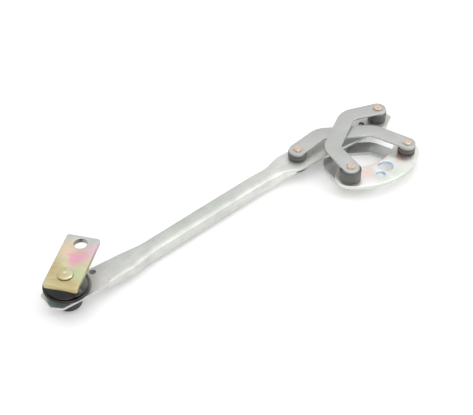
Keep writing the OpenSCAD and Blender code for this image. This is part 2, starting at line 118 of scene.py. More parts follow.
# ball joint: each list holds steps out and up from a radius and a height that its function names
BALL_R, NECK_R, NECK_EASE = 6.5, 4.0, 0.2
RIVET_R, DIMPLE_R = 6.0, 1.2
RIVET_SIDE = [(-1.1, 0.0), (-0.1, 0.45), (0.0, 0.7), (-0.15, 1.05)]
RIVET_TOP = [(-0.7, -0.15), (-1.6, -0.03)]
RIVET_DIMPLE = [(0.5, 0.0), (0.0, -0.08), (-0.48, -0.26), (-1.2, -0.3)]
BOOT_FOOT_R, BOOT_LIP_R, BOOT_WALL, BOOT_EASE = 10.6, 4.35, 1.6, 0.9
BOOT_FOOT = [(-0.4, 0.0), (0.3, 0.5), (0.0, 1.6)]
BOOT_GROOVE = [(-4.0, 4.0), (-2.0, 4.6), (-1.6, 5.4), (-2.0, 5.9)]
BOOT_BEAD = [(-0.5, 6.3), (0.0, 7.4), (-0.4, 8.5), (-1.5, 8.9), (-2.5, 8.5)]
BOOT_DOME = [(-3.4, 8.8), (-5.6, 10.6), (-8.0, 12.6)]
BOOT_LIP = [(2.6, -0.2), (1.2, 0.0), (0.0, -0.3), (0.0, -2.6)]
BOOT_INSIDE = [(-8.4, 10.6), (-3.2, 7.2)]
BOOT_SEAT = [(0.0, 3.2), (0.0, 0.0)]
SOCKET_FOOT_R, SPIGOT_R, SOCKET_EASE = 5.6, 7.98, 0.6
CUP_MOUTH, CUP_RIM_R = 40.0, 5.1

# pins, bushes, spacers and washers; for each pin its body, its heads' lobes, their depth and the dome
PIN_R, RUN_CLEAR = 3.0, 0.06
PIN_HEAD_R, PIN_HEAD_H, PIN_HEAD_RISE = 3.7, 1.5, 0.8
RIM_EASE, RIM_FOOT, RIM_DROP = 0.25, 0.35, 0.5
SHOULDER_W, SHOULDER_DROP = 0.9, 0.2
DOME_AT_RIM, DOME_AT_SHOULDER = 0.7, 0.3
PUNCH_MARK = [(1.5, 0.0), (0.9, 0.06), (0.5, 0.4), (0.0, 0.5)]
PIN_HEADS = {"rod_inner": ("link_b", 6, 0.30, 0.1), "rod_outer": ("link_a", 0, 0.0, 0.05),
             "plate_inner": ("link_a", 5, 0.34, 0.1), "plate_outer": ("link_b", 4, 0.16, 0.2)}
BUSH_BODIES = {"rod_inner": "rod", "rod_outer": "rod", "plate_outer": "plate"}
COLLAR_W, COLLAR_T = 1.6, 0.8
SPACER_EDGE, THIN_EDGE = 0.5, 0.15

# steps that curves are divided into
AROUND, HOLE_AROUND, LOBE_STEPS = 96, 48, 48
BEND_STEPS, ROUND_STEPS, BALL_STEPS, CORNER_STEPS = 20, 24, 24, 6
EASE_STEPS, BOOT_EASE_STEPS, CRANK_EASE_STEPS, CHANNEL_EASE_STEPS = 5, 6, 8, 20
EDGE_STEPS = 4

# stations along the rod, angles beyond which an edge is crisp, and gaps that count as closed
ROD_STEP = 1.0
TIP_STATIONS = np.array([0, 0.04, 0.12, 0.25, 0.45])
SHARP_ANGLE, PIN_SHARP_ANGLE = 38.0, 50.0
MERGE_GAP, SLIVER, CAP_GAP = 2e-4, 1e-4, 1e-6


# sizes and plane shapes

def low(node):
    """Lowest corner of a CAD node, in millimetres."""
    return np.array(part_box(node)[0]) / MM


def high(node):
    """Highest corner of a CAD node, in millimetres."""
    return np.array(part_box(node)[1]) / MM


def axis_of(node):
    """Where the upright axis of a round node stands, x and y in millimetres."""
    return ((low(node) + high(node)) / 2)[:2]


def radius_of(node):
    """Largest radius of a round node, in millimetres."""
    return (high(node) - low(node))[0] / 2


def smoothstep(x, start, end):
    """0 before start, 1 after end, and a cubic ease 3t^2 - 2t^3 between them."""
    t = np.clip((np.asarray(x, float) - start) / (end - start), 0, 1)
    return t * t * (3 - 2 * t)


def turned(points, degrees):
    """Plane points turned about the origin by an angle."""
    a = math.radians(degrees)
    return np.asarray(points, float) @ np.array([[math.cos(a), math.sin(a)], [-math.sin(a), math.cos(a)]])


def heading(v):
    """Angle of a plane vector in degrees."""
    return math.degrees(math.atan2(v[1], v[0]))


def arc(centre, r, start, end, steps):
    """Points on a circle from one angle to another, in degrees: centre + r (cos a, sin a)."""
    a = np.radians(np.linspace(start, end, steps + 1))
    return np.asarray(centre, float) + r * np.stack([np.cos(a), np.sin(a)], 1)


def hole(centre, r):
    """Circle run clockwise, so that the material lies on its left."""
    return arc(centre, r, 360, 0, AROUND)[:-1]


def eased_corners(corners, easing, steps=EASE_STEPS):
    """Closed polygon whose corners become parabolas: (1-t)^2 A + 2t(1-t) C + t^2 B, where C is the
    corner and A and B lie an easing length back and forward along its two sides. The length stops just
    short of half a side."""
    corner = np.asarray(corners, float)
    back, ahead = np.roll(corner, 1, 0) - corner, np.roll(corner, -1, 0) - corner
    size_back, size_ahead = np.linalg.norm(back, axis=1), np.linalg.norm(ahead, axis=1)
    longest = 0.49 * np.minimum(size_back, size_ahead)
    reach = np.minimum(np.broadcast_to(easing, len(corner)), longest)[:, None]
    start = corner + back / size_back[:, None] * reach
    end = corner + ahead / size_ahead[:, None] * reach
    t = np.linspace(0, 1, steps + 1)[None, :, None]
    curve = (1 - t) ** 2 * start[:, None] + 2 * t * (1 - t) * corner[:, None] + t ** 2 * end[:, None]
    return curve.reshape(-1, 2)


def steps_from(radius, height, steps):
    """Profile points, given as steps out and up from a radius and a height."""
    return np.add((radius, height), steps)


# places taken from the frame

STUD = axis_of("ball_socket")
DECK = high("drive_rod")[2]
ROD_PIVOT = {"inner": axis_of("pin_rod_inner") - STUD, "outer": axis_of("pin_rod_outer") - STUD}
TOOLING_AT = [TOOLING_FROM_STUD, ROD_PIVOT["outer"] + TOOLING_FROM_PIVOT]
TOOLING_HOLES = [(at, TOOLING_R) for at in TOOLING_AT]
BUSH_R = radius_of("bush_rod_inner") - COLLAR_W
PLATE_INNER, PLATE_OUTER = axis_of("pin_plate_inner"), axis_of("pin_plate_outer")
PLATE_SPAN = np.linalg.norm(PLATE_OUTER - PLATE_INNER)
PLATE_LEAN = heading(PLATE_OUTER - PLATE_INNER)
CENTRE = (cad_box[0] + cad_box[1]) / 2


# meshes

def grid_faces(rows, columns, wrap_rows=False):
    """Quads of a grid of points that are numbered row by row: two neighbours of one row, then the same
    two of the next row, backwards. Each row closes to a ring, and so do the columns where rows wrap."""
    row = np.arange(rows if wrap_rows else rows - 1)[:, None]
    column = np.arange(columns)[None, :]
    first, second = row * columns, (row + 1) % rows * columns
    ahead = (column + 1) % columns
    quads = [first + column, first + ahead, second + ahead, second + column]
    return np.stack(quads, -1).reshape(-1, 4)


def make_piece(name, points, faces, lids, node, body, finish, sharp=SHARP_ANGLE):
    """A mesh from points in millimetres. Doubles are merged, faces of no area go, and edges that turn
    by more than the sharp angle are kept crisp. It stands for its CAD node and rides on its body."""
    mesh = bpy.data.meshes.new(name)
    mesh.from_pydata((np.asarray(points) * MM).tolist(), [], [*faces.tolist(), *lids])
    bm = bmesh.new()
    bm.from_mesh(mesh)
    bmesh.ops.remove_doubles(bm, verts=bm.verts, dist=MERGE_GAP * MM)
    bmesh.ops.dissolve_degenerate(bm, edges=bm.edges, dist=SLIVER * MM)
    bmesh.ops.recalc_face_normals(bm, faces=bm.faces)
    bm.to_mesh(mesh)
    bm.free()
    mesh.shade_smooth()
    mesh.set_sharp_from_angle(angle=math.radians(sharp))
    piece = bpy.data.objects.new(name, mesh)
    bpy.context.scene.collection.objects.link(piece)
    piece.data.materials.append(finish.material)
    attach(piece, body)
    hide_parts(node)
    return piece


def turned_piece(name, profile, at, closed, ripple=None, **rest):
    """Surface of revolution: a profile of radius and height is carried round an upright axis. A ripple
    is a function of angle and height that multiplies the radius, for lobed heads."""
    profile = np.asarray(profile, float)
    angle = np.arange(AROUND) * 2 * np.pi / AROUND
    r = np.repeat(profile[:, :1], AROUND, 1)
    z = np.repeat(profile[:, 1:], AROUND, 1)
    if ripple is not None:
        r = r * ripple(angle[None, :], z)
    points = np.stack([at[0] + r * np.cos(angle), at[1] + r * np.sin(angle), z], -1).reshape(-1, 3)
    return make_piece(name, points, grid_faces(len(profile), AROUND, closed), [], **rest)


def ring_piece(name, node, bore_r, edge, **rest):
    """Round ring in its CAD node's box: a rectangle with eased corners carried round the axis."""
    r, foot, top = radius_of(node), low(node)[2], high(node)[2]
    profile = eased_corners([(bore_r, foot), (r, foot), (r, top), (bore_r, top)], edge)
    return turned_piece(name, profile, axis_of(node), True, node=node, **rest)


def cap_triangles(loops):
    """Triangles between an outline and its holes, as numbers of the loops' points in their order: a
    Delaunay net that keeps every rim, less the triangles whose corners all lie on one hole."""
    sizes = [len(loop) for loop in loops]
    starts = np.cumsum([0, *sizes])
    rims = [np.stack([np.arange(n), np.roll(np.arange(n), -1)], 1) + s for n, s in zip(sizes, starts)]
    inside_rims = 1
    places, edges = np.concatenate(loops).tolist(), np.concatenate(rims).tolist()
    _, _, net_faces, net_points, _, _ = delaunay_2d_cdt(places, edges, [], inside_rims, CAP_GAP)
    triangles = np.array([came_from[0] for came_from in net_points])[np.array(net_faces)]
    owner = np.repeat(np.arange(len(loops)), sizes)[triangles]
    in_hole = (owner[:, 0] > 0) & (owner[:, 0] == owner[:, 1]) & (owner[:, 0] == owner[:, 2])
    return triangles[~in_hole]


def stamped_piece(name, outline, holes, edge, node, **rest):
    """Flat stamping in its CAD node's height: a quarter-round, a wall and a quarter-round are carried
    along the outline and along every hole, set inwards by the left normal, and two flat caps close what
    lies between the loops."""
    a = np.linspace(0, np.pi / 2, EDGE_STEPS + 1)
    inset = edge * np.concatenate([1 - np.sin(a), 1 - np.cos(a)])
    under, face = low(node)[2], high(node)[2]
    height = np.concatenate([under + edge * (1 - np.cos(a)), face - edge * (1 - np.sin(a))])
    points, faces, rims, below, above, count = [], [], [], [], [], 0
    for loop in [outline, *holes]:
        loop = np.asarray(loop, float)
        along = np.roll(loop, -1, 0) - np.roll(loop, 1, 0)
        left = np.stack([-along[:, 1], along[:, 0]], 1) / np.linalg.norm(along, axis=1)[:, None]
        rows = loop[None] + left[None] * inset[:, None, None]
        tall = np.broadcast_to(height[:, None, None], (len(height), len(loop), 1))
        points.append(np.concatenate([rows, tall], 2).reshape(-1, 3))
        faces.append(grid_faces(len(height), len(loop)) + count)
        rims.append(rows[-1])
        below.append(np.arange(len(loop)) + count)
        count += len(height) * len(loop)
        above.append(np.arange(-len(loop), 0) + count)
    triangles = cap_triangles(rims)
    upper_cap = np.concatenate(above)[triangles]
    lower_cap = np.concatenate(below)[triangles[:, ::-1]]
    lids = [*upper_cap.tolist(), *lower_cap.tolist()]
    return make_piece(name, np.concatenate(points), np.concatenate(faces), lids, node=node, **rest)


# finishes

class Finish:
    """A material with a Principled shader, whose patterns are read from Object coordinates. The slot
    keeps its name as given, because Blender may add a number to the material's own."""

    def __init__(self, name, **values):
        self.slot = name
        self.material = bpy.data.materials.new(name)
        self.material.use_nodes = True
        self.tree = self.material.node_tree
        self.shader = self.tree.nodes["Principled BSDF"]
        self.place = self.tree.nodes.new("ShaderNodeTexCoord").outputs["Object"]
        for socket, value in values.items():
            self.shader.inputs[socket.replace("_", " ")].default_value = value

    def node(self, kind, settings=None, **inputs):
        """A node with its settings; an input is a value, or another node's output to link. An input is
        named by its label, or by its number after an underscore."""
        made = self.tree.nodes.new(kind)
        for key, value in (settings or {}).items():
            setattr(made, key, value)
        for key, value in inputs.items():
            socket = made.inputs[int(key[1:]) if key[1:].isdigit() else key.replace("_", " ")]
            if isinstance(value, bpy.types.NodeSocket):
                self.tree.links.new(value, socket)
            else:
                socket.default_value = value
        return made

    def mapped(self, scale=(1, 1, 1), turn=0.0, shift=(0, 0, 0)):
        """Object coordinates read along and across a direction turned about the upright axis, scaled,
        then moved."""
        along = self.node("ShaderNodeMapping", Vector=self.place, Rotation=(0, 0, -math.radians(turn)))
        return self.node("ShaderNodeMapping", Vector=along.outputs["Vector"], Location=shift,
                         Scale=scale).outputs["Vector"]

    def noise(self, vector, scale, detail, roughness=0.55, distortion=0.0):
        """Soft cloudy pattern between 0 and 1."""
        return self.node("ShaderNodeTexNoise", Vector=vector, Scale=scale, Detail=detail,
                         Roughness=roughness, Distortion=distortion).outputs["Fac"]

    def ramp(self, fac, stops):
        """Colours at positions along a pattern's value."""
        made = self.node("ShaderNodeValToRGB", Fac=fac)
        band = made.color_ramp
        while len(band.elements) < len(stops):
            band.elements.new(0.5)
        for element, (position, colour) in zip(band.elements, stops):
            element.position = position
            element.color = (*colour, 1)
        return made.outputs["Color"]

    def spread(self, fac, low_in, high_in, low_out, high_out):
        """A pattern's value carried from one range to another."""
        return self.node("ShaderNodeMapRange", Value=fac, From_Min=low_in, From_Max=high_in,
                         To_Min=low_out, To_Max=high_out).outputs["Result"]

    def maths(self, operation, first, second):
        """One sum of two values."""
        return self.node("ShaderNodeMath", {"operation": operation}, _0=first, _1=second).outputs["Value"]

    def blend(self, first, second, share):
        """Two patterns added, the second with a share and the first with the rest."""
        rest = self.maths("MULTIPLY", first, 1 - share)
        return self.maths("ADD", rest, self.maths("MULTIPLY", second, share))

    def mix(self, fac, first, second, blend="MIX"):
        """Two colours mixed by a value."""
        return self.node("ShaderNodeMix", {"data_type": "RGBA", "blend_type": blend},
                         _0=fac, _6=first, _7=second).outputs[2]

    def tinted(self, colour, tint):
        """A colour multiplied by a tint."""
        return self.mix(1.0, colour, tint, "MULTIPLY")

    def near(self, at, r, core, sway=0.0):
        """1 within the core of a round spot, seen from above, falling smoothly to 0 at its radius. The
        core is a share of the radius, and a pattern may sway the spot's edge."""
        reach = self.node("ShaderNodeVectorMath", {"operation": "DISTANCE"}, _0=self.mapped((1, 1, 0)),
                          _1=(at[0] * MM, at[1] * MM, 0)).outputs["Value"]
        share = self.maths("ADD", self.maths("DIVIDE", reach, r * MM), sway)
        return self.node("ShaderNodeMapRange", {"interpolation_type": "SMOOTHSTEP"}, Value=share,
                         From_Min=1.0, From_Max=core, To_Min=0.0, To_Max=1.0).outputs["Result"]

    def under(self, height, full, none):
        """1 where a place lies at least the full depth under a height, 0 where it lies less than the
        other depth under it."""
        tall = self.node("ShaderNodeSeparateXYZ", Vector=self.place).outputs["Z"]
        return self.spread(tall, (height - full) * MM, (height - none) * MM, 1.0, 0.0)

    def set(self, socket, value):
        """Links a pattern to one of the shader's sockets."""
        self.tree.links.new(value, self.shader.inputs[socket])

    def bump(self, height, strength, distance):
        """Relief from a pattern's value, whose distance is in millimetres."""
        self.set("Normal", self.node("ShaderNodeBump", Height=height, Strength=strength,
                                     Distance=distance * MM).outputs["Normal"])


# where the painted reflection, sheen and light lie from the stud's axis, how far they and the hole colours
# and painted shade reach, the depths between which they fade
REFLECTION_TIP_AT, REFLECTION_TIP_R = (-9.0, -9.0), 16.0
SHEEN_AT, SHEEN_R = (16.0, -7.0), 16.0
PAINTED_LIGHT_TAIL_R, PAINTED_LIGHT_TAIL_LIFT = 90.0, 1.14
WALL_SKIN, SHADE_CORNER_REACH = 0.3, 2.5
TIP_FADE, SHADE_CORNER_FADE, RIM_SHADE_FADE = (0.6, 0.2), (0.4, 0.1), (0.5, 0.05)

# colours of films and tints, and of painted shade, sheen and reflection
LILAC_CAST, PLAIN_CAST, GREEN_CAST = (1, 0.97, 1), (1, 1, 0.99), (0.96, 1, 0.97)
CLEAN, SPECK = (1, 1, 1), (0.78, 0.78, 0.78)
PAINTED_HOLE_SHADE, PAINTED_REFLECTION_TEAL, PAINTED_SHEEN_GREY = (0.24, 0.24, 0.27), (0.30, 0.38, 0.38), (0.14, 0.14, 0.133)
GOLD, STRAW, OLIVE = (0.62, 0.52, 0.27), (0.73, 0.68, 0.48), (0.66, 0.62, 0.40)
PINK, LILAC, PEACH = (0.90, 0.46, 0.58), (0.82, 0.58, 0.70), (0.88, 0.69, 0.51)
LEAF, TEAL, SHAFT_HOLE_SHADE = (0.60, 0.69, 0.42), (0.62, 0.66, 0.64), (0.36, 0.34, 0.31)
PALE, WHITE, BLUSH = (0.90, 0.88, 0.83), (0.93, 0.93, 0.91), (0.95, 0.76, 0.70)
MINT, SKY = (0.83, 0.91, 0.82), (0.52, 0.72, 0.90)
CRANK_RIM_SHADE, PLATE_RIM_SHADE = (0.78, 0.78, 0.72), (0.74, 0.75, 0.71)


def zinc_finish(name, dark, light, rough, tint, painted_reflection_end=None, painted_light_end=None, painted_shade_holes=()):
    """Bright zinc plate: cloudy grey that drifts between a lilac and a green cast, faint drawing streaks
    along the sheet and small darker specks. A painted reflection end is a place, a radius and a colour
    painted, less metallic, on the top of the sheet where it reflects what lies round it, and a painted
    light end is a place, a radius and a share by which the sheet is painted lighter. Painted shade holes
    are places and radii of holes whose walls, and the corner below the sheet there, are painted dark
    as shade."""
    coat = Finish(name, Metallic=1.0)
    cloud = coat.noise(coat.mapped(), scale=70, detail=4)
    streak = coat.noise(coat.mapped(scale=(0.08, 1, 1)), scale=900, detail=2)
    speck = coat.noise(coat.mapped(shift=(0.1, 0.2, 0)), scale=420, detail=1)
    drift = coat.noise(coat.mapped(shift=(0.3, 0.1, 0)), scale=38, detail=2)
    tone = coat.blend(cloud, streak, 0.3)
    plain = coat.ramp(tone, [(0.36, dark), (0.64, light)])
    cast = coat.ramp(drift, [(0.36, LILAC_CAST), (0.5, PLAIN_CAST), (0.64, GREEN_CAST)])
    specks = coat.ramp(speck, [(0.70, CLEAN), (0.76, SPECK)])
    colour = coat.tinted(coat.mix(tint, plain, coat.tinted(plain, cast)), specks)
    # painted light: the sheet is made lighter round the links' end, where the links shade it and darken
    # its reflection
    if painted_light_end is not None:
        at, r, lift = painted_light_end
        painted_light = coat.tinted(colour, (lift, lift, lift, 1))
        colour = coat.mix(coat.near(at, r, 0.3), colour, painted_light)
    # painted reflection: a teal-grey, less metallic patch on the top of the sheet at the stud's end,
    # standing in for what the metal reflects there
    if painted_reflection_end is not None:
        at, r, film = painted_reflection_end
        on_top = coat.maths("SUBTRACT", 1.0, coat.under(at[2], *TIP_FADE))
        spot = coat.near(at, r, 0.8, coat.spread(cloud, 0.3, 0.7, -0.1, 0.1))
        reflection_patch = coat.maths("MULTIPLY", spot, on_top)
        colour = coat.mix(reflection_patch, colour, (*film, 1))
        coat.set("Metallic", coat.spread(reflection_patch, 0.0, 1.0, 1.0, 0.25))
    # painted shade: the tooling holes' walls and the corner below the sheet beside them are painted dark
    for at, r in painted_shade_holes:
        below_sheet = coat.under(DECK - SHEET, *SHADE_CORNER_FADE)
        corner = coat.maths("MULTIPLY", coat.near(at, SHADE_CORNER_REACH * r, 0.85), below_sheet)
        painted_shade = coat.maths("MAXIMUM", coat.near(at, r + WALL_SKIN, 0.95), corner)
        colour = coat.mix(painted_shade, colour, (*PAINTED_HOLE_SHADE, 1))
    coat.set("Base Color", colour)
    coat.set("Roughness", coat.spread(tone, 0.35, 0.65, rough + 0.05, rough - 0.05))
    coat.bump(streak, strength=0.08, distance=0.05)
    return coat


def passivate_finish(name, base, turn, rough, spots, rim, walls):
    """Chromate on zinc: a thin film whose colour drifts from spot to spot. Each spot is a place along and
    across the piece, a radius, the share of it that is full, and a colour; soft clouds push its edge
    about. The rim is the height of the upper face, below which the sides and edges are painted darker
    with the tint, as painted shade. The walls of the holes listed last are coloured with an even edge:
    painted shade in the crank's shaft hole, sky blue in the plate's holes."""
    coat = Finish(name, Metallic=1.0)
    cloud = coat.noise(coat.mapped(), scale=110, detail=3, roughness=0.5, distortion=0.4)
    fine = coat.noise(coat.mapped((1, 0.25, 1), turn), scale=500, detail=4)
    colour = coat.ramp(cloud, [(0.35, base[0]), (0.65, base[1])])
    sway = coat.spread(coat.blend(cloud, fine, 0.55), 0.3, 0.7, -0.5, 0.5)
    for along, across, r, core, film in spots:
        colour = coat.mix(coat.near(turned((along, across), turn), r, core, sway), colour, (*film, 1))
    # painted shade: below the upper face the sides and edges are darkened by the tint
    top, tint = rim
    colour = coat.mix(coat.under(top, *RIM_SHADE_FADE), colour, coat.tinted(colour, (*tint, 1)))
    # hole walls: painted shade in the crank's shaft hole, sky blue in the plate's holes
    for along, across, r, core, film in walls:
        colour = coat.mix(coat.near(turned((along, across), turn), r, core), colour, (*film, 1))
    coat.set("Base Color", colour)
    coat.set("Roughness", coat.spread(fine, 0.3, 0.7, rough - 0.05, rough + 0.07))
    coat.bump(fine, strength=0.06, distance=0.04)
    return coat


def plain_metal(name, dark, light, rough):
    """Turned metal: fine cloudy tone and roughness."""
    coat = Finish(name, Metallic=1.0)
    cloud = coat.noise(coat.mapped(), scale=380, detail=3)
    coat.set("Base Color", coat.ramp(cloud, [(0.35, dark), (0.65, light)]))
    coat.set("Roughness", coat.spread(cloud, 0.3, 0.7, rough - 0.06, rough + 0.08))
    coat.bump(cloud, strength=0.1, distance=0.04)
    return coat


def moulded(name, dark, light, rough, grain, relief, layers=0.0, painted_sheen=None):
    """Moulded rubber or plastic: a small grain, and level lines round it where it was built in layers.
    A painted sheen is a place, a radius and a colour of a lighter grey patch painted where light glances
    off the surface."""
    coat = Finish(name)
    cloud = coat.noise(coat.mapped(), scale=90, detail=3)
    fine = coat.noise(coat.mapped(), scale=grain, detail=2)
    line = coat.noise(coat.mapped((0.03, 0.03, 1)), scale=1400, detail=1)
    tone = coat.blend(cloud, line, layers)
    colour = coat.ramp(tone, [(0.34, dark), (0.66, light)])
    # painted sheen: a lighter grey patch where light glances off the surface
    if painted_sheen is not None:
        at, r, sheen_colour = painted_sheen
        spot = coat.near(at, r, 0.2, coat.spread(cloud, 0.3, 0.7, -0.15, 0.15))
        colour = coat.mix(spot, colour, (*sheen_colour, 1))
    coat.set("Base Color", colour)
    coat.set("Roughness", coat.spread(tone, 0.3, 0.7, rough - 0.05, rough + 0.08))
    coat.bump(fine, strength=relief, distance=0.1)
    return coat


rod_zinc = zinc_finish(
    "rod_zinc", dark=(0.57, 0.58, 0.554), light=(0.68, 0.69, 0.658), rough=0.5, tint=0.8,
    # painted reflection on the rod's end under the boot
    painted_reflection_end=((*(STUD + REFLECTION_TIP_AT), DECK), REFLECTION_TIP_R, PAINTED_REFLECTION_TEAL),
    # painted light round the links' end of the rod
    painted_light_end=(STUD + ROD_PIVOT["inner"], PAINTED_LIGHT_TAIL_R, PAINTED_LIGHT_TAIL_LIFT),
    # painted shade in the tooling holes
    painted_shade_holes=[(STUD + at, r) for at, r in TOOLING_HOLES])
link_zinc = zinc_finish(
    "link_zinc", dark=(0.54, 0.55, 0.535), light=(0.60, 0.61, 0.595), rough=0.46, tint=0.4)

gold_passivate = passivate_finish(
    "gold_passivate", base=(STRAW, OLIVE), turn=CRANK_TURN, rough=0.32,
    spots=[(6, 7, 20, 0.2, TEAL), (6, -9, 13, 0.2, TEAL), (-7, 8, 14, 0.1, PEACH),
           (-3, -11, 10, 0.1, LILAC), (-13, -4, 9, 0.0, PINK), (-17, -1, 8, 0.0, PINK),
           (-30, 11, 13, 0.1, GOLD), (-42, 3, 13, 0.1, GOLD), (-31, -9, 8, 0.1, LEAF),
           (-42, -10, 10, 0.1, GOLD)],
    # painted shade on the crank's sides and edges
    rim=(high("motor_crank")[2], CRANK_RIM_SHADE),
    # painted shade on the walls of the motor shaft's hole
    walls=[(0, 0, SHAFT_HOLE_R + WALL_SKIN, 0.97, SHAFT_HOLE_SHADE)])


def plate_films(films):
    """Films placed along and across the plate from its inner pivot, carried to the frame's origin."""
    home = turned(PLATE_INNER, -PLATE_LEAN)
    return [(home[0] + along, home[1] + across, *film) for along, across, *film in films]


plate_passivate = passivate_finish(
    "plate_passivate", base=(PALE, WHITE), turn=PLATE_LEAN, rough=0.32,
    spots=plate_films([(34, 4, 12, 0.1, BLUSH), (15, -5, 11, 0.1, BLUSH), (24, -18, 10, 0.1, MINT),
                       (46, -10, 12, 0.1, PALE), (53, -3, 10, 0.1, BLUSH), (10, -14, 9, 0.1, WHITE),
                       (38, -16, 11, 0.1, MINT), (44, 6, 9, 0.1, MINT)]),
    # painted shade on the plate's sides and edges
    rim=(high("spindle_plate")[2], PLATE_RIM_SHADE),
    walls=plate_films([(*SPINDLE_AT, SPINDLE_R + WALL_SKIN, 0.97, SKY),
                       (*LOCATING_AT, LOCATING_R + WALL_SKIN, 0.96, SKY)]))

pin_passivate = plain_metal("pin_passivate", dark=(0.66, 0.52, 0.40), light=(0.78, 0.67, 0.54), rough=0.5)
bush_bronze = plain_metal("bush_bronze", dark=(0.22, 0.20, 0.17), light=(0.30, 0.27, 0.22), rough=0.5)
washer_steel = plain_metal("washer_steel", dark=(0.50, 0.50, 0.49), light=(0.62, 0.62, 0.61), rough=0.38)
spacer_plastic = moulded(
    "spacer_plastic", dark=(0.07, 0.069, 0.066), light=(0.13, 0.128, 0.122), rough=0.4,
    grain=900, relief=0.05, layers=0.6)
boot_rubber = moulded(
    "boot_rubber", dark=(0.006, 0.0052, 0.0045), light=(0.012, 0.010, 0.009), rough=0.18,
    # painted sheen on the boot's right side
    grain=700, relief=0.02, painted_sheen=(STUD + SHEEN_AT, SHEEN_R, PAINTED_SHEEN_GREY))
socket_plastic = moulded(
    "socket_plastic", dark=(0.012, 0.012, 0.013), light=(0.022, 0.022, 0.023), rough=0.4,
    grain=900, relief=0.05)


# the pressed rod

def rod_end():
    """Middle of the flat end at the links, and where its tip lies along the rod."""
    middle = (ROD_PIVOT["inner"] + ROD_PIVOT["outer"]) / 2
    return middle, middle[0] + turned(ROD_PIVOT["outer"] - middle, -TAIL_TURN)[0] + TAIL_TIP


def tail_near_edge(x):
    """Near edge of the flat end at the links, which leans out towards the tip: near + x tan(splay)."""
    return TAIL_NEAR + x * math.tan(math.radians(TAIL_SPLAY))


def rod_edges(s):
    """Near and far edge of the rod at stations s along it. The channel's edges are joined station by
    station and averaged over a short run, each flat end is a bar with cut corners turned a few degrees,
    and a cubic ease leads from one to the next."""
    middle, tail_end = rod_end()
    out = tail_end - middle[0]
    run = s[None] + np.linspace(-CHANNEL_EASE, CHANNEL_EASE, CHANNEL_EASE_STEPS + 1)[:, None]
    near = np.interp(run, CHANNEL, CHANNEL_NEAR).mean(0)
    far = np.interp(run, CHANNEL, CHANNEL_FAR).mean(0)
    head_near = np.minimum(HEAD_HALF_W, HEAD_HALF_W - HEAD_NEAR_CUT + s + HEAD_TIP)
    head_far = np.minimum(HEAD_HALF_W, HEAD_HALF_W - HEAD_FAR_CUT + s + HEAD_TIP)
    cut_start = tail_near_edge(out - TAIL_CUT_RUN)
    cut_end = tail_near_edge(out) - TAIL_CUT_W
    near_cut = cut_end + (tail_end - s) * (cut_start - cut_end) / TAIL_CUT_RUN
    tail_near = np.minimum(tail_near_edge(s - middle[0]), near_cut)
    tail_far = np.minimum(TAIL_FAR, TAIL_FAR - TAIL_FAR_CUT + tail_end - s)
    widths = {"near": (-head_near, -near, -tail_near), "far": (head_far, far, tail_far)}
    edges = []
    for side, (head, channel, tail) in widths.items():
        in_head = 1 - smoothstep(s, *HEAD_BLEND[side])[:, None]
        in_tail = smoothstep(s, *TAIL_BLEND[side])[:, None]
        head_edge = turned(np.stack([s, head], 1), HEAD_TURN)
        tail_edge = middle + turned(np.stack([s - middle[0], tail], 1), TAIL_TURN)
        channel_edge = np.stack([s, channel], 1)
        edges.append(in_head * head_edge + in_tail * tail_edge + (1 - in_head - in_tail) * channel_edge)
    return edges


def flange_height(s, flange):
    """Height of a flange at stations s: straight lines from height to height, and a short step down to
    the bare sheet beyond the first and the last."""
    at, height = zip(*flange)
    return np.interp(s, [at[0] - FLANGE_STEP, *at, at[-1] + FLANGE_STEP], [SHEET, *height, SHEET])


def rod_section(s, width, tail_end):
    """Corners of the rod's section at stations s, and their radii: an upside-down U with eight corners,
    measured across from the near edge and up from the deck. Its flanges shrink to the sheet's thickness
    towards the flat ends, where the U becomes a plain strip. The strip thins to a quarter circle at the
    two tips."""
    deep = np.stack([flange_height(s, NEAR_FLANGE), flange_height(s, FAR_FLANGE)])
    outer_r = np.clip(ROD_EDGE_R + BEND_GROWTH * (deep - SHEET), ROD_EDGE_R, ROD_BEND_R)
    inner_r = np.minimum(ROD_INNER_BEND_R, deep - SHEET)
    burr_r = np.minimum(ROD_BURR_R, deep - SHEET)
    edge_r = np.full_like(s, ROD_EDGE_R)
    to_tip = np.minimum(s + HEAD_TIP, tail_end - s)
    inward = np.maximum(ROD_EDGE_R - to_tip, 0)
    worn = ROD_EDGE_R - np.sqrt(np.maximum(ROD_EDGE_R ** 2 - inward ** 2, 0))
    zero, top, web, foot = 0 * s, -worn, worn - SHEET, worn - deep
    wall = np.minimum(SHEET, width / 2)
    corner = np.array([[zero, foot[0]], [zero, top], [width, top], [width, foot[1]],
                       [width - wall, foot[1]], [width - wall, web], [wall, web], [wall, foot[0]]])
    radius = np.array([edge_r, *outer_r, edge_r, burr_r[1], *inner_r[::-1], burr_r[0]])
    return corner, radius


